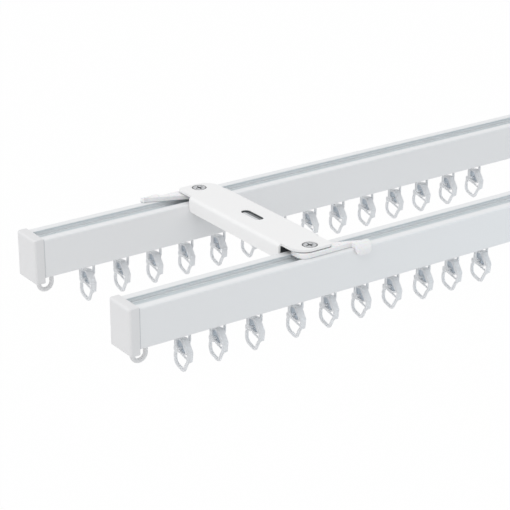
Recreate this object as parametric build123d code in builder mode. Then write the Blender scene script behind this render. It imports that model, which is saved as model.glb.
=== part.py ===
"""Double ceiling curtain track: two slotted rails held side by side by two pressed brackets.

Millimetres, +Z up. X runs along the rails, Y from the front rail to the rear one. The origin is
the middle of the left bracket's ceiling face, so everything else hangs below Z = 0.
"""

import os

from build123d import *

# Rails
rail_length = 410.6
rail_width = 15.1
rail_height = 18.0
rail_wall = 1.1
rail_corner = 0.8
rail_pitch = 84.7
rear_offset = 3.9
groove_width = 7.2
groove_lip = 0.9
groove_undercut = 1.3
groove_floor = 2.6
runner_slot = 5.0
web = 1.0
lip_round = 0.35

# End caps
cap_thickness = 4.7
cap_proud = 0.4
cap_rise = 0.7
cap_drop = 2.2
cap_round = 1.2
cap_edge_round = 0.55
cap_seam_round = 0.3
plug_length = 10.5
plug_gap = 0.2
plug_lead = 0.8
eye_wire = 2.0
eye_radius = 3.15
eye_from_face = 8.5
eye_below_rail = 5.4
strut_thickness = 1.6
strut_from_seam = 1.5

# Brackets
bracket_from_cap = 93.8
bracket_width = 21.4
sheet = 1.2
bend = 1.7
inner_bend = 0.5
flange_depth = 7.0
flange_round = 2.0
end_web_inset = 1.0
end_web_depth = 5.2
rail_drop = 3.8
flange_gap = 0.3
tongue_beyond_pivot = 4.6
tongue_round_far = 7.5
tongue_round_arm = 2.4
screw_slot_length = 14.0
screw_slot_width = 4.5

# Lock levers and their pivots
lever_gap = 0.3
lever_rail_gap = 0.2
lever_heel = 7.8
lever_half = 5.3
arm_inset = 0.1
nose_length = 1.7
nose_drop = 3.4
nose_inset = 0.3
arm_to_tab = 18.2
tab_width = 8.2
tab_thickness = 1.5
tab_back_round = 3.0
tab_side_round = 1.2
tab_overlap = 0.4
tab_rail_gap = 0.4
tab_below_rail = 2.8
tab_round = 2.5
tab_shoulder = 3.8
shoulder_step = 0.4
lever_edge_round = 0.35
lever_rounds = (4.0, 0.7, 0.3, 0.3, 2.0, 2.0, 1.0, 4.0)
neck_gap = 0.2
foot_gap = 0.3
foot_lip_gap = 0.2
foot_height = 1.2
foot_side_gap = 0.3
pivot_shaft = 3.2
pivot_head = 6.8
pivot_head_height = 0.45
pivot_sink = 0.1
pivot_bevel = 0.25
pivot_foot_head = 4.8
pivot_foot_height = 0.5
pivot_fit = 0.05
seat_gap = 0.05
recess_length = 3.6
recess_width = 0.7
recess_depth = 0.35

# Runner carriers
head_length = 9.0
head_height = 3.0
head_side_gap = 0.3
head_lip_gap = 0.15
head_round = 2.0
carrier_neck_width = 4.0
carrier_neck_proud = 0.3
bail_wire = 1.2
bail_width = 8.1
bail_straight = 1.7
bail_below_rail = 8.5

# Curtain rings
ring_fit = 0.08
saddle_width = 3.0
saddle_web = 1.0
eye_thickness = 1.5
tie_thickness = 0.8
saddle_edge_round = 0.3

# Side view of a ring: each corner is (to the rear, up) from the bail's bar, with its rounding.
# The whole view is moved to the rear by ring_balance, so that the ring hangs level at rest.
ring_balance = 0.9413
saddle_corners = (
    (3.9, -2.6), (3.9, -0.6), (2.6, 0.0), (2.6, 3.9), (-3.1, 4.7), (-6.8, -0.5),
    (-6.1, -5.2), (-5.4, -5.2), (-6.1, -1.0), (-3.9, -2.3),
)  # fmt: skip
saddle_rounds = (0.5, 0.6, 0.4, 1.5, 2.2, 1.2, 0.25, 0.25, 0.3, 0.6)
recess_corners = ((1.4, 3.2), (-2.0, 3.7), (-5.2, -0.8), (-3.6, -1.5), (1.4, -0.8))
recess_rounds = (0.9, 1.6, 0.3, 0.6, 0.2)
eye_corners = ((3.2, -1.9), (4.7, -4.4), (4.7, -8.8), (-1.7, -10.7), (-3.9, -6.3), (-5.4, -4.6))
eye_rounds = (4.0, 2.9, 2.0, 4.0)
tie_ends = ((3.3, -2.4), (-5.5, -4.7))

# Where each carrier stands along the rail, from the middle of the left bracket
front_runners = (-64.3, -47.0, -28.5, -7.1, 10.6, 28.3, 45.6, 63.6, 80.5, 98.0)
rear_runners = (
    -60.2, -42.5, -25.1, -7.7, 10.2, 27.8, 45.4, 63.4, 80.5, 98.5, 116.2, 133.7, 151.4, 169.1,
)  # fmt: skip

# Tolerance for picking corners by their place
near = 0.01

# Levels and places worked out from the sizes above
rail_top = -rail_drop
rail_bottom = rail_top - rail_height
cavity_width = rail_width - 2 * rail_wall
web_top = rail_top - groove_floor
channel_top = web_top - web
channel_bottom = rail_bottom + rail_wall
front_y = -rail_pitch / 2
rear_y = rail_pitch / 2
front_end = -bracket_from_cap
rear_end = front_end + rear_offset
track_length = rail_length + 2 * cap_thickness
second_bracket = front_end + track_length - (bracket_from_cap - rear_offset)
lever_top = -sheet - lever_gap
lever_bottom = rail_top + lever_rail_gap
bar_level = rail_bottom - bail_below_rail


def make_rail(end, y):
    """One rail: a lever groove on top, a web, and the runner channel open along the bottom."""
    with BuildPart() as rail:
        with BuildSketch(Plane.YZ.offset(end + cap_thickness)) as section:
            with Locations((y, rail_top - rail_height / 2)):
                Rectangle(rail_width, rail_height)
            fillet(section.vertices(), rail_corner)
            with Locations((y, rail_top - groove_lip)):
                Rectangle(
                    groove_width + 2 * groove_undercut,
                    groove_floor - groove_lip,
                    align=(Align.CENTER, Align.MAX),
                    mode=Mode.SUBTRACT,
                )
            with Locations((y, rail_top)):
                Rectangle(
                    groove_width,
                    groove_floor,
                    align=(Align.CENTER, Align.MAX),
                    mode=Mode.SUBTRACT,
                )
            with Locations((y, channel_bottom)):
                Rectangle(
                    cavity_width,
                    channel_top - channel_bottom,
                    align=(Align.CENTER, Align.MIN),
                    mode=Mode.SUBTRACT,
                )
            with Locations((y, rail_bottom)):
                Rectangle(
                    runner_slot,
                    2 * rail_wall,
                    align=(Align.CENTER, Align.MIN),
                    mode=Mode.SUBTRACT,
                )
            lip_corners = section.vertices().filter_by(
                lambda v: abs(v.Y - rail_top) < near and abs(v.X - y) < groove_width / 2 + near
            )
            fillet(lip_corners, lip_round)
        extrude(amount=rail_length)
    return rail.part


def make_cap(face, y, inward):
    """One end cap: a face plate, a plug that fills the runner channel, and a fixed eye below."""
    level = Plane(origin=(face, y, 0), x_dir=(inward, 0, 0), z_dir=(0, 0, 1))
    side = Plane(origin=(face, y, 0), x_dir=(inward, 0, 0), z_dir=(0, -inward, 0))
    cap_bottom = rail_bottom - cap_drop
    eye_level = rail_bottom - eye_below_rail
    with BuildPart() as cap:
        with BuildSketch(level.offset(cap_bottom)):
            Rectangle(
                cap_thickness, rail_width + 2 * cap_proud, align=(Align.MIN, Align.CENTER)
            )
        extrude(amount=rail_top + cap_rise - cap_bottom)
        outer_face = cap.faces().sort_by(Axis.X)[0 if inward > 0 else -1]
        fillet(outer_face.edges(), cap_round)
        long_edges = cap.edges().filter_by(Axis.X)
        fillet(long_edges, cap_edge_round)
        inner_face = cap.faces().sort_by(Axis.X)[-1 if inward > 0 else 0]
        fillet(inner_face.edges(), cap_seam_round)
        with BuildSketch(level.offset(channel_bottom + plug_gap)):
            with Locations((cap_thickness, 0)):
                Rectangle(
                    plug_length, cavity_width - 2 * plug_gap, align=(Align.MIN, Align.CENTER)
                )
        extrude(amount=channel_top - channel_bottom - 2 * plug_gap)
        plug_end = cap.faces().sort_by(Axis.X)[-1 if inward > 0 else 0]
        chamfer(plug_end.edges(), plug_lead)
        with BuildLine(side) as route:
            left = (eye_from_face - eye_radius, eye_level)
            right = (eye_from_face + eye_radius, eye_level)
            bottom = (eye_from_face, eye_level - eye_radius)
            ThreePointArc(left, bottom, right)
            Line(right, (right[0], channel_bottom + plug_gap + eye_wire))
        with BuildSketch(Plane(origin=route.line @ 0, z_dir=route.line % 0)):
            Circle(eye_wire / 2)
        sweep(path=route.wires()[0])
        with BuildSketch(side):
            with BuildLine():
                strut_top = (cap_thickness - strut_from_seam, cap_bottom + cap_round)
                Polyline(
                    (left[0] - eye_wire / 2, left[1]),
                    (strut_top[0] - eye_wire / 2, strut_top[1]),
                    (strut_top[0] + eye_wire / 2, strut_top[1]),
                    (left[0] + eye_wire / 2, left[1]),
                    close=True,
                )
            make_face()
        extrude(amount=strut_thickness / 2, both=True)
    return cap.part


def make_bracket(x):
    """One bracket: a pressed channel between the rails with a flat tongue over each rail."""
    flange_reach = rail_pitch / 2 - rail_width / 2 - flange_gap
    tongue_end = rail_pitch / 2 + tongue_beyond_pivot
    tongue_half = bracket_width / 2 - bend
    with BuildPart() as bracket:
        with BuildSketch(Plane.XZ) as section:
            with Locations((x, 0)):
                Rectangle(bracket_width, flange_depth, align=(Align.CENTER, Align.MAX))
            fillet(section.vertices().group_by(Axis.Y)[-1], bend)
            with BuildSketch(mode=Mode.PRIVATE) as hollow:
                with Locations((x, -sheet)):
                    Rectangle(
                        bracket_width - 2 * sheet, flange_depth, align=(Align.CENTER, Align.MAX)
                    )
                fillet(hollow.vertices().group_by(Axis.Y)[-1], inner_bend)
            add(hollow.sketch, mode=Mode.SUBTRACT)
        extrude(amount=flange_reach, both=True)
        flange_corners = bracket.edges().filter_by(Axis.X).group_by(Axis.Z)[0]
        fillet(flange_corners, flange_round)
        web_centre = flange_reach - end_web_inset - sheet / 2
        with BuildSketch(Plane.XY.offset(-end_web_depth)):
            with Locations((x, -web_centre), (x, web_centre)):
                Rectangle(bracket_width - sheet, sheet)
        extrude(amount=end_web_depth - sheet / 2)
        with BuildSketch(Plane.XY.offset(-sheet)) as plate:
            with Locations((x, 0)):
                Rectangle(2 * tongue_half, 2 * tongue_end)
            front_corners = plate.vertices().group_by(Axis.Y)[0].sort_by(Axis.X)
            rear_corners = plate.vertices().group_by(Axis.Y)[-1].sort_by(Axis.X)
            fillet([front_corners[0], rear_corners[-1]], tongue_round_far)
            front_arm_corner = plate.vertices().group_by(Axis.Y)[0].sort_by(Axis.X)[-1]
            rear_arm_corner = plate.vertices().group_by(Axis.Y)[-1].sort_by(Axis.X)[0]
            fillet([front_arm_corner, rear_arm_corner], tongue_round_arm)
        extrude(amount=sheet)
        with BuildSketch(Plane.XY):
            with Locations((x, 0)):
                SlotOverall(screw_slot_length, screw_slot_width, rotation=90)
        extrude(amount=-sheet, mode=Mode.SUBTRACT)
        with Locations((x, front_y, 0), (x, rear_y, 0)):
            CounterBoreHole(
                radius=pivot_shaft / 2 + seat_gap,
                counter_bore_radius=pivot_head / 2 + seat_gap,
                counter_bore_depth=pivot_sink + pivot_head_height + seat_gap,
            )
    return bracket.part


def make_lever(x, y, arm):
    """One lock lever: a plate under the tongue, an arm with a finger tab, and a turning foot."""
    level = Plane(origin=(x, y, 0), x_dir=(arm, 0, 0), z_dir=(0, 0, 1))
    side = Plane(origin=(x, y, 0), x_dir=(arm, 0, 0), z_dir=(0, -arm, 0))
    front_face = -rail_width / 2
    tab_inner = front_face - tab_rail_gap
    tab_outer = tab_inner - tab_thickness
    plate_edge = tab_outer + tab_back_round
    tab_end = arm_to_tab + tab_width
    tab_bottom = rail_top - tab_below_rail
    foot_top = rail_top - groove_lip - foot_lip_gap
    foot_bottom = foot_top - foot_height
    foot_length = groove_width + 2 * groove_undercut - 2 * foot_gap
    foot_width = groove_width - 2 * foot_side_gap
    plate_overlap = plate_edge + 2 * tab_overlap
    across = Plane(origin=(x, y, 0), x_dir=(0, arm, 0), z_dir=(arm, 0, 0))
    with BuildPart() as tab:
        with BuildSketch(across.offset(arm_to_tab)):
            with BuildLine():
                Polyline(
                    (plate_edge, lever_top),
                    (plate_overlap, lever_top),
                    (plate_overlap, lever_bottom),
                    (tab_inner, lever_bottom),
                    (tab_inner, tab_bottom),
                    (tab_outer, tab_bottom),
                    (tab_outer, lever_top - tab_back_round),
                )
                RadiusArc(
                    (tab_outer, lever_top - tab_back_round), (plate_edge, lever_top), tab_back_round
                )
            make_face()
        extrude(amount=tab_width)
        with BuildSketch(level.offset(tab_bottom)) as plan:
            with Locations((arm_to_tab, tab_outer)):
                Rectangle(tab_width, plate_overlap - tab_outer, align=(Align.MIN, Align.MIN))
            fillet(plan.vertices().group_by(Axis.Y)[0], tab_side_round)
        extrude(amount=lever_top - tab_bottom, mode=Mode.INTERSECT)
        with BuildSketch(side.offset(-plate_overlap)) as front:
            with Locations((arm_to_tab, tab_bottom)):
                Rectangle(tab_width, lever_top - tab_bottom, align=(Align.MIN, Align.MIN))
            fillet(front.vertices().group_by(Axis.Y)[0], tab_round)
        extrude(amount=plate_overlap - tab_outer, mode=Mode.INTERSECT)
    with BuildPart() as lever:
        with BuildSketch(level.offset(lever_bottom)):
            with BuildLine():
                FilletPolyline(
                    (-lever_heel, -lever_half),
                    (arm_to_tab + tab_overlap, arm_inset - lever_half),
                    (arm_to_tab + tab_overlap, plate_edge),
                    (tab_end - tab_overlap, plate_edge),
                    (tab_end - tab_shoulder, shoulder_step - lever_half),
                    (lever_half + nose_length, lever_half - nose_drop),
                    (lever_half - nose_inset, lever_half),
                    (-lever_heel, lever_half),
                    radius=lever_rounds,
                    close=True,
                )
            make_face()
        extrude(amount=lever_top - lever_bottom)
        fillet(lever.faces().sort_by(Axis.Z)[-1].edges(), lever_edge_round)
        add(tab.part)
        with BuildSketch(level.offset(foot_top)):
            Circle(groove_width / 2 - neck_gap)
        extrude(amount=lever_bottom - foot_top)
        with BuildSketch(level.offset(foot_bottom)):
            SlotOverall(foot_length, foot_width, rotation=90)
        extrude(amount=foot_height)
        with BuildSketch(level.offset(lever_top)):
            Circle(pivot_shaft / 2 + pivot_fit)
        extrude(amount=foot_bottom - lever_top, mode=Mode.SUBTRACT)
        with BuildSketch(level.offset(foot_bottom)):
            Circle(pivot_foot_head / 2 + neck_gap)
        extrude(amount=pivot_foot_height + neck_gap, mode=Mode.SUBTRACT)
    return lever.part


def make_rivet():
    """One pivot rivet at the origin: a sunk cross-recessed head, a shaft and a spread foot."""
    foot_bottom = rail_top - groove_lip - foot_lip_gap - foot_height
    shaft = pivot_shaft / 2
    head = pivot_head / 2
    foot = pivot_foot_head / 2
    head_bottom = -pivot_sink - pivot_head_height
    with BuildPart() as rivet:
        with BuildSketch(Plane.XZ):
            with BuildLine():
                Polyline(
                    (0, -pivot_sink),
                    (head - 2 * pivot_bevel, -pivot_sink),
                    (head, -pivot_sink - pivot_bevel),
                    (head, head_bottom),
                    (shaft, head_bottom),
                    (shaft, foot_bottom + pivot_foot_height),
                    (foot, foot_bottom + pivot_foot_height),
                    (foot, foot_bottom),
                    (0, foot_bottom),
                    close=True,
                )
            make_face()
        revolve(axis=Axis.Z)
        with BuildSketch(Plane.XY.offset(-pivot_sink)):
            Rectangle(recess_length, recess_width)
            Rectangle(recess_width, recess_length)
        extrude(amount=-recess_depth, mode=Mode.SUBTRACT)
    return rivet.part


def make_carrier(x, y):
    """One runner: a head that slides on the rail's bottom lips and a wire-like bail below."""
    side = Plane(origin=(x, y, 0), x_dir=(1, 0, 0), z_dir=(0, -1, 0))
    head_bottom = channel_bottom + head_lip_gap
    neck_bottom = rail_bottom + head_lip_gap
    neck_middle = (head_bottom + neck_bottom) / 2
    leg = (bail_width - bail_wire) / 2
    with BuildPart() as carrier:
        with BuildSketch(Plane.XY.offset(head_bottom)) as head:
            with Locations((x, y)):
                Rectangle(head_length, cavity_width - 2 * head_side_gap)
            fillet(head.vertices(), head_round)
        extrude(amount=head_height)
        with BuildSketch(Plane.XY.offset(neck_bottom)):
            with Locations((x, y)):
                Rectangle(bail_width + 2 * carrier_neck_proud, carrier_neck_width)
        extrude(amount=head_bottom - neck_bottom)
        with BuildLine(side) as route:
            FilletPolyline(
                (-leg, neck_middle),
                (-leg, bar_level),
                (leg, bar_level),
                (leg, neck_middle),
                radius=leg - bail_straight / 2,
            )
        with BuildSketch(Plane(origin=route.line @ 0, z_dir=route.line % 0)):
            Circle(bail_wire / 2)
        sweep(path=route.wires()[0])
    return carrier.part


def make_ring(x, y):
    """One curtain ring: a wide saddle over the bail's bar, and a closed eye and a tie below it."""
    side = Plane(origin=(x, y + ring_balance, bar_level), x_dir=(0, 1, 0), z_dir=(1, 0, 0))
    with BuildPart() as ring:
        with BuildSketch(side):
            with BuildLine():
                FilletPolyline(*saddle_corners, radius=saddle_rounds, close=True)
            make_face()
        extrude(amount=saddle_width / 2, both=True)
        fillet(ring.faces().filter_by(Axis.X).edges(), saddle_edge_round)
        for face, way in ((saddle_web / 2, 1), (-saddle_web / 2, -1)):
            with BuildSketch(side.offset(face)):
                with BuildLine():
                    FilletPolyline(*recess_corners, radius=recess_rounds, close=True)
                make_face()
            extrude(amount=way * saddle_width, mode=Mode.SUBTRACT)
        with BuildLine(side) as eye:
            FilletPolyline(*eye_corners, radius=eye_rounds)
        with BuildSketch(Plane(origin=eye.line @ 0, z_dir=eye.line % 0)):
            Circle(eye_thickness / 2)
        sweep(path=eye.wires()[0])
        with BuildLine(side) as tie:
            Line(*tie_ends)
        with BuildSketch(Plane(origin=tie.line @ 0, z_dir=tie.line % 0)):
            Circle(tie_thickness / 2)
        sweep(path=tie.wires()[0])
        with BuildSketch(side):
            with Locations((-ring_balance, 0)):
                Circle(bail_wire / 2 + ring_fit)
        extrude(amount=saddle_width, both=True, mode=Mode.SUBTRACT)
    return ring.part


def save(part, name):
    """Label one piece and write it under the name of its node."""
    part.label = name
    export_step(part, f"parts/{name}.step")


os.makedirs("parts", exist_ok=True)

# Rails
save(make_rail(front_end, front_y), "front_rail")
save(make_rail(rear_end, rear_y), "rear_rail")

# End caps, with the two at the right end as one group
save(make_cap(front_end, front_y, 1), "front_left_cap")
save(make_cap(rear_end, rear_y, 1), "rear_left_cap")
with BuildPart() as right_end_caps:
    add(make_cap(front_end + track_length, front_y, -1))
    add(make_cap(rear_end + track_length, rear_y, -1))
save(right_end_caps.part, "right_end_caps")

# Brackets and lock levers
save(make_bracket(0), "left_bracket")
save(make_bracket(second_bracket), "right_bracket")
save(make_lever(0, front_y, 1), "left_front_lever")
save(make_lever(0, rear_y, -1), "left_rear_lever")
save(make_lever(second_bracket, front_y, 1), "right_front_lever")
save(make_lever(second_bracket, rear_y, -1), "right_rear_lever")

# Pivot rivets, one group
with BuildPart() as pivot_rivets:
    with Locations(
        (0, front_y), (0, rear_y), (second_bracket, front_y), (second_bracket, rear_y)
    ):
        add(make_rivet())
save(pivot_rivets.part, "pivot_rivets")

# Runners
for row, y, places in (("front", front_y, front_runners), ("rear", rear_y, rear_runners)):
    for number, x in enumerate(places, start=1):
        save(make_carrier(x, y), f"{row}_carrier_{number:02d}")
        save(make_ring(x, y), f"{row}_ring_{number:02d}")
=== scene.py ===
"""Looks of a double ceiling curtain track: finishes for its pieces, a pale studio and a camera."""

from math import cos, sin

import bpy
from bpy.props import FloatProperty, FloatVectorProperty, PointerProperty
from bpy.types import Operator, Panel, PropertyGroup
from mathutils import Matrix, Vector


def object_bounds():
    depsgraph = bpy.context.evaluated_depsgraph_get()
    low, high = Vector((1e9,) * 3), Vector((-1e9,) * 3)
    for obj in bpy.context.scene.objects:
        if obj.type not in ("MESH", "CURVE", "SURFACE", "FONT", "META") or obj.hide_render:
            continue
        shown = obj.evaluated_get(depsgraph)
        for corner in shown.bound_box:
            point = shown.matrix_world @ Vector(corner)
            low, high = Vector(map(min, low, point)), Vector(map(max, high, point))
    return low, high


bl_info = {
    "name": "Curtain Track Looks",
    "version": (1, 0, 0),
    "blender": (4, 5, 0),
    "location": "View3D > Sidebar > Track",
    "description": "Gives a packed curtain track its finishes, and sets up a studio round it",
    "category": "Object",
}

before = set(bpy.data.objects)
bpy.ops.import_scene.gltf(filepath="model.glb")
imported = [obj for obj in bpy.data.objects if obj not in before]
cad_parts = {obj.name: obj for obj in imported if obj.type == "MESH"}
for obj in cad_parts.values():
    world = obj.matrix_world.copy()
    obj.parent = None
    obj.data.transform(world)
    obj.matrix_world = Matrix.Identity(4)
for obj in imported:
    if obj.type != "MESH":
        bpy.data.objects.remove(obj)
cad_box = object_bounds()

# Noise cells in a metre along X, Y and Z
RAIL_CLOUD = (12, 60, 60)
RAIL_DIE_LINES = (4, 2600, 2600)
RAIL_PEEL = (900, 900, 900)
SHEET_CLOUD = (70, 70, 70)
SHEET_PEEL = (1100, 1100, 1100)
PLASTIC_CLOUD = (90, 90, 90)
CAP_GRAIN = (2600, 2600, 2600)
LEVER_GRAIN = (700, 700, 700)
RUNNER_GRAIN = (1500, 1500, 1500)
ZINC_PITS = (1600, 1600, 1600)
ZINC_FLAKES = 1800

# Nearly all of a noise lies between these values
NOISE_LOW, NOISE_HIGH = 0.3, 0.7

# Octaves of detail in a noise
SMOOTH, PLAIN, STREAKED, FINE = 1.0, 2.0, 3.0, 4.0

# Darkest place of a finish, as a share of its colour
CLOUD_SHADE = 0.985
FLAKE_SHADE = 0.8

# How far the roughness strays from its setting
RAIL_STRAY = 0.03
SHEET_STRAY = 0.04
PLASTIC_STRAY = 0.05
ZINC_SMOOTHER, ZINC_DULLER = 0.06, 0.1

# Fixed properties of the finishes
PIT_DEPTH = 0.00001
RAIL_COAT_WEIGHT, RAIL_COAT_ROUGHNESS = 0.15, 0.2
LEVER_GLOW, LEVER_GLOW_DEPTH = 0.1, 0.001
PLASTIC_IOR = 1.49


# Settings


def colour(name, description, default):
    """A colour setting."""
    return FloatVectorProperty(
        name=name, description=description, subtype="COLOR", size=3, min=0, max=1, default=default
    )


def share(name, description, default):
    """A setting from 0 to 1."""
    return FloatProperty(
        name=name, description=description, default=default, min=0, max=1, subtype="FACTOR"
    )


def length(name, description, default):
    """A length setting in metres."""
    return FloatProperty(
        name=name, description=description, default=default, precision=6, unit="LENGTH"
    )


def place(name, description, default):
    """A setting for a point in metres."""
    return FloatVectorProperty(
        name=name,
        description=description,
        default=default,
        subtype="XYZ",
        unit="LENGTH",
        precision=6,
    )


class RailSettings(PropertyGroup):
    """The two extruded and coated rails."""

    coat: colour("Coat", "Colour of the baked coat", (0.86, 0.867, 0.876))
    roughness: share("Roughness", "How soft the coat's reflections are", 0.38)
    die_lines: length("Die Lines", "Depth of the lines that the extrusion left", 0.000004)
    peel: length("Peel", "Depth of the coat's soft ripple", 0.000006)
    # The groove colour is painted shade: darker and bluish inside the lever groove.
    groove: colour("Groove", "Colour inside the lever groove", (0.69, 0.735, 0.755))
    # The undercut colour is painted light: whiter than the coat, it lifts the shade on the undercut
    # walls.
    undercut: colour("Undercut", "Colour of the groove's undercut walls", (0.97, 0.99, 1.0))
    undercut_half: length("Undercut Half", "Half the width inside the undercut", 0.00495)
    groove_middle: length("Groove Middle", "Distance of each groove from the middle", 0.04235)
    groove_half: length("Groove Half", "Half the width inside the groove", 0.00366)
    groove_top: length("Groove Top", "Height where the groove's colour starts", -0.004)
    groove_floor: length("Groove Floor", "Height where the groove's colour ends", -0.0068)
    seam: colour("Seam", "Colour of the shaded seam beside each end cap", (0.6, 0.61, 0.63))
    seam_width: length("Seam Width", "Width of the shaded seam", 0.0004)
    middle: length("Middle", "Middle of the front rail along X", 0.1162)
    half: length("Half", "Half the length of a rail", 0.2053)
    rear_shift: length("Rear Shift", "How far the rear rail stands to the right", 0.0039)


class CapSettings(PropertyGroup):
    """The moulded end caps."""

    plastic: colour("Plastic", "Colour of the moulded plastic", (0.813, 0.81, 0.815))
    roughness: share("Roughness", "How matte the moulded faces are", 0.5)
    grain: length("Grain", "Depth of the mould's grain", 0.000008)


class BracketSettings(PropertyGroup):
    """The pressed ceiling brackets and their pivot rivets."""

    coat: colour("Coat", "Colour of the bracket's coat", (0.935, 0.93, 0.927))
    roughness: share("Roughness", "How soft the coat's reflections are", 0.4)
    peel: length("Peel", "Depth of the coat's soft ripple", 0.00001)
    # The inside and shade colours are painted shade: darker grey on the channel's inner faces, near
    # black on the slot's walls and the channel's ends.
    inside: colour("Inside", "Colour of the shadowed inside of the channel", (0.42, 0.43, 0.44))
    shade: colour("Shade", "Colour of the slot's walls and the channel's ends", (0.055, 0.06, 0.065))
    end_start: length("End Start", "Distance from the middle where a channel's end starts", 0.0334)
    pitch: length("Pitch", "Distance between the two brackets", 0.2363)
    inside_half: length("Inside Half", "Half the width inside the channel", 0.0096)
    inside_top: length("Inside Top", "Height of the plate's underside", -0.00115)
    slot_half: length("Slot Half", "Half the screw slot's width, with its walls", 0.0024)
    slot_reach: length("Slot Reach", "Half the screw slot's length, with its walls", 0.0072)
    slot_top: length("Slot Top", "Height where the slot's dark walls start", -0.0003)
    zinc: colour("Zinc", "Colour of the plated rivets", (0.6, 0.61, 0.63))
    zinc_roughness: share("Zinc Roughness", "How dull the plating is", 0.32)
    # The rim shade colour is painted shade on the rims of the rivets' heads and in their recesses.
    rim_shade: colour("Rim Shade", "Colour of the rivets' rims and recesses", (0.13, 0.135, 0.14))
    pivot_row: length("Pivot Row", "Distance of each rivet from the middle", 0.04235)
    bright_radius: length("Bright Radius", "Radius of the bright part of a rivet's head", 0.0028)
    head_level: length("Head Level", "Height where a rivet's recess starts", -0.00022)


class LeverSettings(PropertyGroup):
    """The lock levers."""

    plastic: colour("Plastic", "Colour of the moulded plastic", (0.925, 0.92, 0.925))
    roughness: share("Roughness", "How glossy the lever is", 0.3)
    grain: length("Grain", "Depth of the mould's ripple", 0.000005)


class RunnerSettings(PropertyGroup):
    """The sliding carriers and the rings that hang on them."""

    plastic: colour("Plastic", "Colour of the milky plastic", (0.955, 0.968, 0.985))
    roughness: share("Roughness", "How frosted the plastic is", 0.34)
    clearness: share("Clearness", "How much light passes through", 0.2)
    # The recess shade colour is painted shade, darker and bluish, on the floor of each side recess
    # of a ring's saddle.
    recess_shade: colour("Hollow", "Colour on the floor of a ring's side recess", (0.7, 0.77, 0.84))
    hollow_half: share("Hollow Half", "Half the web between the recesses, in ring widths", 0.2)
    hollow_low: share("Hollow Low", "Lower end of a recess, in ring heights", 0.6)
    hollow_high: share("Hollow High", "Upper end of a recess, in ring heights", 0.95)
    hollow_rear: share("Hollow Rear", "Rear end of a recess, in ring depths", 0.67)
    hollow_slope: share("Hollow Slope", "How far a recess leans to the rear as it rises", 0.909)
    hollow_front: FloatProperty(
        name="Hollow Front", description="Front end of a recess at the ring's foot", default=-0.5
    )
    grain: length("Grain", "Depth of the mould's ripple", 0.000006)


class StudioSettings(PropertyGroup):
    """The floor, the light and the camera."""

    floor_level: length("Floor Level", "How far the floor lies below the ceiling", 0.95)
    floor_size: length("Floor Size", "Length of the floor's sides", 14.0)
    floor_paint: colour("Floor Paint", "Colour of the floor", (0.98, 0.98, 0.98))
    floor_roughness: share("Floor Roughness", "How matte the floor is", 0.9)
    floor_gloss: share("Floor Gloss", "How much the floor reflects at its surface", 0.1)
    floor_white: share("Floor White", "How far the floor shows as plain white", 0.985)
    ambient: FloatProperty(
        name="Ambient", description="Strength of the room's light", default=0.75, min=0
    )
    ambient_tint: colour("Ambient Tint", "Colour of the room's light", (0.985, 0.992, 1.0))
    key_power: FloatProperty(
        name="Key Power", description="Power of the large lamp", default=7.0, min=0, unit="POWER"
    )
    key_size: length("Key Size", "Side of the large lamp", 1.4)
    key_stand: place("Key Stand", "Place of the large lamp from the middle", (-0.85, -0.35, 1.45))
    key_aim: place("Key Aim", "Where the large lamp points, from the middle", (0.0, 0.0, 0.0))
    lean: FloatVectorProperty(
        name="Lean",
        description="How much more of the room's light comes from +X, +Y and +Z",
        default=(-0.22, 0.12, 0.0),
        subtype="XYZ",
    )
    cool_power: FloatProperty(
        name="Cool Power",
        description="Power of the faint cool lamp",
        default=0.2,
        min=0,
        unit="POWER",
    )
    cool_tint: colour("Cool Tint", "Colour of the faint cool lamp", (0.6, 0.85, 1.0))
    cool_size: length("Cool Size", "Side of the cool lamp", 0.2)
    cool_stand: place("Cool Stand", "Place of the cool lamp from the middle", (0.2, -0.4, 0.02))
    cool_aim: place("Cool Aim", "Where the cool lamp points, from the middle", (0.1, 0.0, 0.0))
    camera_place: place(
        "Camera Place", "Where the camera stands", (-0.413839, -0.592039, 0.280435)
    )
    azimuth: FloatProperty(
        name="Azimuth",
        description="Turn of the view towards +X",
        default=0.611745,
        subtype="ANGLE",
    )
    drop: FloatProperty(
        name="Drop", description="How far the camera looks down", default=0.393141, subtype="ANGLE"
    )
    lens: FloatProperty(
        name="Lens", description="Focal length in millimetres", default=124.35, unit="CAMERA"
    )
    sensor: FloatProperty(
        name="Sensor", description="Width of the sensor in millimetres", default=36.0, unit="CAMERA"
    )
    nearest: length("Nearest", "Where the camera starts to see", 0.05)
    furthest: length("Furthest", "Where the camera stops seeing", 30.0)


# Materials


def insides(material):
    """Short ways to the nodes, the links and the surface shader of a finish."""
    nodes, links = material.node_tree.nodes, material.node_tree.links
    return nodes, links, nodes["Principled BSDF"]


def new_finish(name):
    """A node material with one surface shader."""
    material = bpy.data.materials.new(name)
    material.use_nodes = True
    return material


def local_noise(nodes, links, cells, detail=PLAIN):
    """Noise in the piece's own metres, with so many cells per metre along X, Y and Z."""
    where = nodes.new("ShaderNodeTexCoord")
    scale = nodes.new("ShaderNodeMapping")
    scale.inputs["Scale"].default_value = cells
    noise = nodes.new("ShaderNodeTexNoise")
    noise.inputs["Scale"].default_value = 1.0
    noise.inputs["Detail"].default_value = detail
    links.new(where.outputs["Object"], scale.inputs["Vector"])
    links.new(scale.outputs["Vector"], noise.inputs["Vector"])
    return noise.outputs["Fac"]


def roughen(nodes, links, shader, value, low, high):
    """Spreads the surface's roughness between two numbers with a noise."""
    ranger = nodes.new("ShaderNodeMapRange")
    ranger.inputs["From Min"].default_value = NOISE_LOW
    ranger.inputs["From Max"].default_value = NOISE_HIGH
    ranger.inputs["To Min"].default_value = low
    ranger.inputs["To Max"].default_value = high
    links.new(value, ranger.inputs["Value"])
    links.new(ranger.outputs["Result"], shader.inputs["Roughness"])


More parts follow.
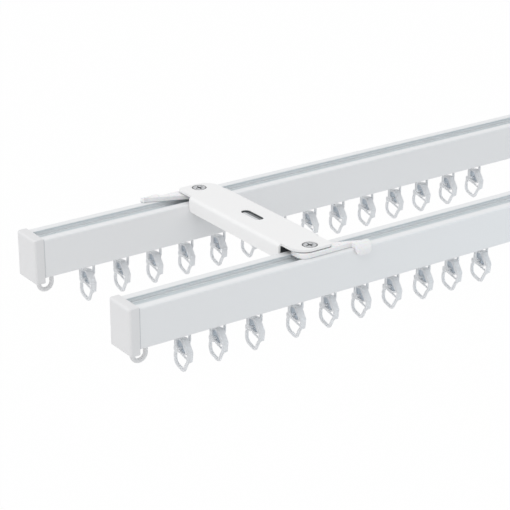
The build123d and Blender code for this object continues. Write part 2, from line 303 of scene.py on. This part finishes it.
def tint(nodes, links, shader, value, base, darker):
    """Colours the surface between its base colour and a slightly darker one."""
    mix = nodes.new("ShaderNodeMix")
    mix.data_type = "RGBA"
    mix.inputs["A"].default_value = (*[c * darker for c in base], 1)
    mix.inputs["B"].default_value = (*base, 1)
    links.new(value, mix.inputs["Factor"])
    links.new(mix.outputs["Result"], shader.inputs["Base Color"])


def own_place(nodes, links, kind="Object"):
    """The X, Y and Z of a point in the piece's own metres, or in shares of its box."""
    where = nodes.new("ShaderNodeTexCoord")
    parts = nodes.new("ShaderNodeSeparateXYZ")
    links.new(where.outputs[kind], parts.inputs["Vector"])
    return parts.outputs


def reckon(nodes, links, operation, value, other=0.0):
    """One sum with a value and a number, or with two values."""
    node = nodes.new("ShaderNodeMath")
    node.operation = operation
    links.new(value, node.inputs[0])
    if isinstance(other, float):
        node.inputs[1].default_value = other
    else:
        links.new(other, node.inputs[1])
    return node.outputs["Value"]


def within(nodes, links, value, middle, half):
    """1 where a value lies no further than half from the middle."""
    away = reckon(nodes, links, "SUBTRACT", value, middle)
    return reckon(nodes, links, "LESS_THAN", reckon(nodes, links, "ABSOLUTE", away), half)


def recolour(nodes, links, shader, mask, paint):
    """Puts another colour over the surface where a mask is 1."""
    mix = nodes.new("ShaderNodeMix")
    mix.data_type = "RGBA"
    mix.inputs["B"].default_value = (*paint, 1)
    links.new(mask, mix.inputs["Factor"])
    links.new(shader.inputs["Base Color"].links[0].from_socket, mix.inputs["A"])
    links.new(mix.outputs["Result"], shader.inputs["Base Color"])


def ripple(nodes, links, value, depth, under=None):
    """A bump of so many metres, on top of another one where given."""
    bump = nodes.new("ShaderNodeBump")
    bump.inputs["Strength"].default_value = 1.0
    bump.inputs["Distance"].default_value = depth
    links.new(value, bump.inputs["Height"])
    if under:
        links.new(under, bump.inputs["Normal"])
    return bump.outputs["Normal"]


def beside_caps(nodes, links, settings):
    """1 on the narrow ends of a rail that the end caps shade."""
    point = own_place(nodes, links)
    behind = reckon(nodes, links, "GREATER_THAN", point["Y"], 0.0)
    shift = reckon(nodes, links, "MULTIPLY", behind, settings.rear_shift)
    along = reckon(nodes, links, "SUBTRACT", point["X"], shift)
    from_middle = reckon(nodes, links, "SUBTRACT", along, settings.middle)
    away = reckon(nodes, links, "ABSOLUTE", from_middle)
    return reckon(nodes, links, "GREATER_THAN", away, settings.half - settings.seam_width)


def coated_rail(settings):
    """White baked coat over an extrusion: faint lines along X under a soft ripple."""
    material = new_finish("Coated Rail")
    nodes, links, shader = insides(material)
    cloud = local_noise(nodes, links, RAIL_CLOUD)
    lines = local_noise(nodes, links, RAIL_DIE_LINES, STREAKED)
    peel = local_noise(nodes, links, RAIL_PEEL)
    tint(nodes, links, shader, cloud, settings.coat, CLOUD_SHADE)
    point = own_place(nodes, links)
    across = reckon(nodes, links, "ABSOLUTE", point["Y"])
    level = (settings.groove_top + settings.groove_floor) / 2
    reach = (settings.groove_top - settings.groove_floor) / 2
    sunk = within(nodes, links, point["Z"], level, reach)
    # Painted shade and light in the lever grooves: a darker bluish colour inside each groove, a
    # whiter one on its shaded undercut walls.
    for half, paint in (
        (settings.undercut_half, settings.undercut),
        (settings.groove_half, settings.groove),
    ):
        beside = within(nodes, links, across, settings.groove_middle, half)
        recolour(nodes, links, shader, reckon(nodes, links, "MULTIPLY", beside, sunk), paint)
    recolour(nodes, links, shader, beside_caps(nodes, links, settings), settings.seam)
    low, high = settings.roughness - RAIL_STRAY, settings.roughness + RAIL_STRAY
    roughen(nodes, links, shader, cloud, low, high)
    under = ripple(nodes, links, lines, settings.die_lines)
    links.new(ripple(nodes, links, peel, settings.peel, under), shader.inputs["Normal"])
    shader.inputs["Coat Weight"].default_value = RAIL_COAT_WEIGHT
    shader.inputs["Coat Roughness"].default_value = RAIL_COAT_ROUGHNESS
    return material


def from_between(nodes, links, point, settings):
    """Distance along X from the middle between the two brackets."""
    along = reckon(nodes, links, "SUBTRACT", point["X"], settings.pitch / 2)
    return reckon(nodes, links, "ABSOLUTE", along)


def channel_inside(nodes, links, settings, start):
    """1 on the inner faces of a bracket's channel, further than start from its middle along Y."""
    point = own_place(nodes, links)
    beyond = reckon(
        nodes, links, "GREATER_THAN", reckon(nodes, links, "ABSOLUTE", point["Y"]), start
    )
    away = from_between(nodes, links, point, settings)
    along = within(nodes, links, away, settings.pitch / 2, settings.inside_half)
    below = reckon(nodes, links, "LESS_THAN", point["Z"], settings.inside_top)
    return reckon(nodes, links, "MULTIPLY", beyond, reckon(nodes, links, "MULTIPLY", along, below))


def in_slot(nodes, links, settings):
    """1 on the walls of a bracket's screw slot."""
    point = own_place(nodes, links)
    away = from_between(nodes, links, point, settings)
    slot = within(nodes, links, away, settings.pitch / 2, settings.slot_half)
    reach = within(nodes, links, point["Y"], 0.0, settings.slot_reach)
    sunk = reckon(nodes, links, "LESS_THAN", point["Z"], settings.slot_top)
    return reckon(nodes, links, "MULTIPLY", reckon(nodes, links, "MULTIPLY", slot, reach), sunk)


def coated_sheet(settings):
    """White powder coat on pressed sheet, with a soft orange-peel ripple."""
    material = new_finish("Coated Sheet")
    nodes, links, shader = insides(material)
    cloud = local_noise(nodes, links, SHEET_CLOUD)
    peel = local_noise(nodes, links, SHEET_PEEL, SMOOTH)
    tint(nodes, links, shader, cloud, settings.coat, CLOUD_SHADE)
    # Painted shade inside each bracket: darker grey on the channel's inner faces, near black on the
    # channel's ends and the slot's walls.
    for mask, paint in (
        (channel_inside(nodes, links, settings, 0.0), settings.inside),
        (channel_inside(nodes, links, settings, settings.end_start), settings.shade),
        (in_slot(nodes, links, settings), settings.shade),
    ):
        recolour(nodes, links, shader, mask, paint)
    low, high = settings.roughness - SHEET_STRAY, settings.roughness + SHEET_STRAY
    roughen(nodes, links, shader, cloud, low, high)
    links.new(ripple(nodes, links, peel, settings.peel), shader.inputs["Normal"])
    return material


def moulded_plastic(name, settings, cells):
    """White moulded plastic with a fine grain of so many cells per metre."""
    material = new_finish(name)
    nodes, links, shader = insides(material)
    cloud = local_noise(nodes, links, PLASTIC_CLOUD)
    fine = local_noise(nodes, links, cells, FINE)
    tint(nodes, links, shader, cloud, settings.plastic, CLOUD_SHADE)
    low, high = settings.roughness - PLASTIC_STRAY, settings.roughness + PLASTIC_STRAY
    roughen(nodes, links, shader, fine, low, high)
    links.new(ripple(nodes, links, fine, settings.grain), shader.inputs["Normal"])
    return material


def glowing_plastic(name, settings):
    """Moulded plastic that scatters a little light under its surface."""
    material = moulded_plastic(name, settings, LEVER_GRAIN)
    shader = insides(material)[-1]
    shader.inputs["Subsurface Weight"].default_value = LEVER_GLOW
    shader.inputs["Subsurface Scale"].default_value = LEVER_GLOW_DEPTH
    return material


def milky_plastic(name, settings):
    """Unfilled milky plastic that lets some light through."""
    material = moulded_plastic(name, settings, RUNNER_GRAIN)
    shader = insides(material)[-1]
    shader.inputs["Transmission Weight"].default_value = settings.clearness
    shader.inputs["IOR"].default_value = PLASTIC_IOR
    return material


def in_recess(nodes, links, settings):
    """1 on the floor of the leaning recess in each side of a ring's saddle."""
    point = own_place(nodes, links, "Generated")
    middle = 0.5
    level = (settings.hollow_low + settings.hollow_high) / 2
    reach = (settings.hollow_high - settings.hollow_low) / 2
    web = within(nodes, links, point["X"], middle, settings.hollow_half)
    height = within(nodes, links, point["Z"], level, reach)
    rear = reckon(nodes, links, "LESS_THAN", point["Y"], settings.hollow_rear)
    lean = reckon(nodes, links, "MULTIPLY", point["Z"], settings.hollow_slope)
    upright = reckon(nodes, links, "SUBTRACT", point["Y"], lean)
    front = reckon(nodes, links, "GREATER_THAN", upright, settings.hollow_front)
    inside = reckon(nodes, links, "MULTIPLY", web, height)
    return reckon(nodes, links, "MULTIPLY", inside, reckon(nodes, links, "MULTIPLY", front, rear))


def recess_shaded_plastic(name, settings):
    """The same plastic, with painted shade, darker and bluish, on the floors of the recesses."""
    material = milky_plastic(name, settings)
    nodes, links, shader = insides(material)
    recolour(nodes, links, shader, in_recess(nodes, links, settings), settings.recess_shade)
    return material


def shaded_rivet_places(nodes, links, settings):
    """1 on the rims of the rivets' heads and in their recesses, where shade is painted."""
    point = own_place(nodes, links)
    away = from_between(nodes, links, point, settings)
    along = reckon(nodes, links, "SUBTRACT", away, settings.pitch / 2)
    row = reckon(nodes, links, "ABSOLUTE", point["Y"])
    across = reckon(nodes, links, "SUBTRACT", row, settings.pivot_row)
    along_squared = reckon(nodes, links, "MULTIPLY", along, along)
    across_squared = reckon(nodes, links, "MULTIPLY", across, across)
    squares = reckon(nodes, links, "ADD", along_squared, across_squared)
    rim = reckon(nodes, links, "GREATER_THAN", squares, settings.bright_radius**2)
    sunk = reckon(nodes, links, "LESS_THAN", point["Z"], settings.head_level)
    return reckon(nodes, links, "MAXIMUM", rim, sunk)


def plated_steel(settings):
    """Zinc-plated steel with the plating's small bright flakes and fine pits."""
    material = new_finish("Plated Steel")
    nodes, links, shader = insides(material)
    where = nodes.new("ShaderNodeTexCoord")
    voronoi = nodes.new("ShaderNodeTexVoronoi")
    voronoi.inputs["Scale"].default_value = ZINC_FLAKES
    links.new(where.outputs["Object"], voronoi.inputs["Vector"])
    flakes = voronoi.outputs["Distance"]
    tint(nodes, links, shader, flakes, settings.zinc, FLAKE_SHADE)
    # Painted shade: near black on the rims of the rivets' heads and in their recesses.
    recolour(nodes, links, shader, shaded_rivet_places(nodes, links, settings), settings.rim_shade)
    low, high = settings.zinc_roughness - ZINC_SMOOTHER, settings.zinc_roughness + ZINC_DULLER
    roughen(nodes, links, shader, flakes, low, high)
    pits = local_noise(nodes, links, ZINC_PITS)
    links.new(ripple(nodes, links, pits, PIT_DEPTH), shader.inputs["Normal"])
    shader.inputs["Metallic"].default_value = 1.0
    return material


def give(material, *words):
    """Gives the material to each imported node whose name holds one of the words."""
    for name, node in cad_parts.items():
        if any(word in name for word in words):
            for slot in node.material_slots:
                slot.material = material


# Operators, one for each group of pieces and one for the stage


class TRACK_OT_rails(Operator):
    """Finish the two slotted rails"""

    bl_idname = "track.rails"
    bl_label = "Rails"

    def execute(self, context):
        give(coated_rail(context.scene.track_rails), "rail")
        return {"FINISHED"}


class TRACK_OT_caps(Operator):
    """Finish the four end caps"""

    bl_idname = "track.caps"
    bl_label = "End Caps"

    def execute(self, context):
        give(moulded_plastic("Satin Cap Plastic", context.scene.track_caps, CAP_GRAIN), "cap")
        return {"FINISHED"}


class TRACK_OT_brackets(Operator):
    """Finish the two pressed brackets and their pivot rivets"""

    bl_idname = "track.brackets"
    bl_label = "Brackets and Rivets"

    def execute(self, context):
        settings = context.scene.track_brackets
        give(coated_sheet(settings), "bracket")
        give(plated_steel(settings), "rivet")
        return {"FINISHED"}


class TRACK_OT_levers(Operator):
    """Finish the four lock levers"""

    bl_idname = "track.levers"
    bl_label = "Lock Levers"

    def execute(self, context):
        give(glowing_plastic("Gloss Lever Plastic", context.scene.track_levers), "lever")
        return {"FINISHED"}


class TRACK_OT_runners(Operator):
    """Finish the sliding carriers and the curtain rings"""

    bl_idname = "track.runners"
    bl_label = "Runners"

    def execute(self, context):
        settings = context.scene.track_runners
        give(milky_plastic("Milky Plastic", settings), "carrier")
        give(recess_shaded_plastic("Recessed Milky Plastic", settings), "ring")
        return {"FINISHED"}


class TRACK_OT_stage(Operator):
    """Make the pale floor, the soft light and the camera"""

    bl_idname = "track.stage"
    bl_label = "Stage"

    def execute(self, context):
        scene = context.scene
        settings = scene.track_studio
        pale_floor(scene, settings)
        room_light(scene, settings)
        large = soft_lamp(scene, "Large Lamp", settings.key_stand, settings.key_aim)
        large.size = settings.key_size
        large.energy = settings.key_power
        cool = soft_lamp(scene, "Cool Lamp", settings.cool_stand, settings.cool_aim)
        cool.size = settings.cool_size
        cool.energy = settings.cool_power
        cool.color = settings.cool_tint
        stand_camera(scene, settings)
        scene.view_settings.view_transform = "Standard"
        return {"FINISHED"}


# Stage


def seen_directly(nodes, links):
    """1 where the camera, a reflection or clear plastic sees the background."""
    path = nodes.new("ShaderNodeLightPath").outputs
    either = reckon(nodes, links, "MAXIMUM", path["Is Camera Ray"], path["Is Glossy Ray"])
    return reckon(nodes, links, "MAXIMUM", either, path["Is Transmission Ray"])


def pale_floor(scene, settings):
    """A large pale floor that shows white and keeps a faint shadow."""
    half, level = settings.floor_size / 2, -settings.floor_level
    corners = [(x * half, y * half, level) for x, y in ((-1, -1), (1, -1), (1, 1), (-1, 1))]
    mesh = bpy.data.meshes.new("Floor")
    mesh.from_pydata(corners, [], [(0, 1, 2, 3)])
    floor = bpy.data.objects.new("Floor", mesh)
    scene.collection.objects.link(floor)
    material = new_finish("Pale Floor")
    nodes, links, shader = insides(material)
    shader.inputs["Base Color"].default_value = (*settings.floor_paint, 1)
    shader.inputs["Roughness"].default_value = settings.floor_roughness
    shader.inputs["Specular IOR Level"].default_value = settings.floor_gloss
    white = nodes.new("ShaderNodeEmission")
    shown = nodes.new("ShaderNodeMixShader")
    shown.inputs["Fac"].default_value = settings.floor_white
    chosen = nodes.new("ShaderNodeMixShader")
    links.new(shader.outputs["BSDF"], shown.inputs[1])
    links.new(white.outputs["Emission"], shown.inputs[2])
    links.new(seen_directly(nodes, links), chosen.inputs["Fac"])
    links.new(shader.outputs["BSDF"], chosen.inputs[1])
    links.new(shown.outputs["Shader"], chosen.inputs[2])
    links.new(chosen.outputs["Shader"], nodes["Material Output"].inputs["Surface"])
    mesh.materials.append(material)
    return floor


def room_light(scene, settings):
    """Soft light from all round, stronger on the lean's side, before a white background."""
    world = bpy.data.worlds.new("Studio")
    world.use_nodes = True
    nodes, links = world.node_tree.nodes, world.node_tree.links
    room = nodes["Background"]
    room.inputs["Color"].default_value = (*settings.ambient_tint, 1)
    way = nodes.new("ShaderNodeTexCoord")
    lean = nodes.new("ShaderNodeVectorMath")
    lean.operation = "DOT_PRODUCT"
    lean.inputs[1].default_value = settings.lean
    links.new(way.outputs["Generated"], lean.inputs[0])
    share_of_light = reckon(nodes, links, "ADD", lean.outputs["Value"], 1.0)
    links.new(
        reckon(nodes, links, "MULTIPLY", share_of_light, settings.ambient), room.inputs["Strength"]
    )
    white = nodes.new("ShaderNodeBackground")
    white.inputs["Color"].default_value = (1, 1, 1, 1)
    mix = nodes.new("ShaderNodeMixShader")
    links.new(seen_directly(nodes, links), mix.inputs["Fac"])
    links.new(room.outputs["Background"], mix.inputs[1])
    links.new(white.outputs["Background"], mix.inputs[2])
    links.new(mix.outputs["Shader"], nodes["World Output"].inputs["Surface"])
    scene.world = world


def soft_lamp(scene, name, stand, aim):
    """One square soft lamp, placed and aimed from the middle of the track."""
    lamp = bpy.data.lights.new(name, "AREA")
    lamp.shape = "SQUARE"
    holder = bpy.data.objects.new(name, lamp)
    low, high = cad_box
    middle = (low + high) / 2
    holder.location = middle + Vector(stand)
    way = Vector(aim) - Vector(stand)
    holder.rotation_euler = way.to_track_quat("-Z", "Y").to_euler()
    scene.collection.objects.link(holder)
    return lamp


def stand_camera(scene, settings):
    """The camera at the photograph's place, looking along its line of sight."""
    turn, drop = settings.azimuth, settings.drop
    right = Vector((cos(turn), -sin(turn), 0))
    up = Vector((sin(turn) * sin(drop), cos(turn) * sin(drop), cos(drop)))
    back = right.cross(up)
    camera = bpy.data.cameras.new("Camera")
    camera.lens = settings.lens
    camera.sensor_width = settings.sensor
    camera.clip_start = settings.nearest
    camera.clip_end = settings.furthest
    holder = bpy.data.objects.new("Camera", camera)
    holder.matrix_world = Matrix.Translation(settings.camera_place) @ Matrix(
        (right, up, back)
    ).transposed().to_4x4()
    scene.collection.objects.link(holder)
    scene.camera = holder


class TRACK_PT_looks(Panel):
    """Lists the steps of the track's looks"""

    bl_label = "Curtain Track"
    bl_idname = "TRACK_PT_looks"
    bl_space_type = "VIEW_3D"
    bl_region_type = "UI"
    bl_category = "Track"

    def draw(self, context):
        for step in STEPS:
            self.layout.operator(step.bl_idname)


STEPS = (
    TRACK_OT_rails,
    TRACK_OT_caps,
    TRACK_OT_brackets,
    TRACK_OT_levers,
    TRACK_OT_runners,
    TRACK_OT_stage,
)
SETTINGS = {
    "track_rails": RailSettings,
    "track_caps": CapSettings,
    "track_brackets": BracketSettings,
    "track_levers": LeverSettings,
    "track_runners": RunnerSettings,
    "track_studio": StudioSettings,
}


def register():
    """Add the settings, the steps and the panel to Blender."""
    for name, group in SETTINGS.items():
        bpy.utils.register_class(group)
        setattr(bpy.types.Scene, name, PointerProperty(type=group))
    for step in STEPS:
        bpy.utils.register_class(step)
    bpy.utils.register_class(TRACK_PT_looks)


def unregister():
    """Take the panel, the steps and the settings out of Blender again."""
    bpy.utils.unregister_class(TRACK_PT_looks)
    for step in reversed(STEPS):
        bpy.utils.unregister_class(step)
    for name, group in reversed(SETTINGS.items()):
        delattr(bpy.types.Scene, name)
        bpy.utils.unregister_class(group)


def main():
    register()
    bpy.ops.track.rails()
    bpy.ops.track.caps()
    bpy.ops.track.brackets()
    bpy.ops.track.levers()
    bpy.ops.track.runners()
    bpy.ops.track.stage()


if __name__ == "__main__":
    main()
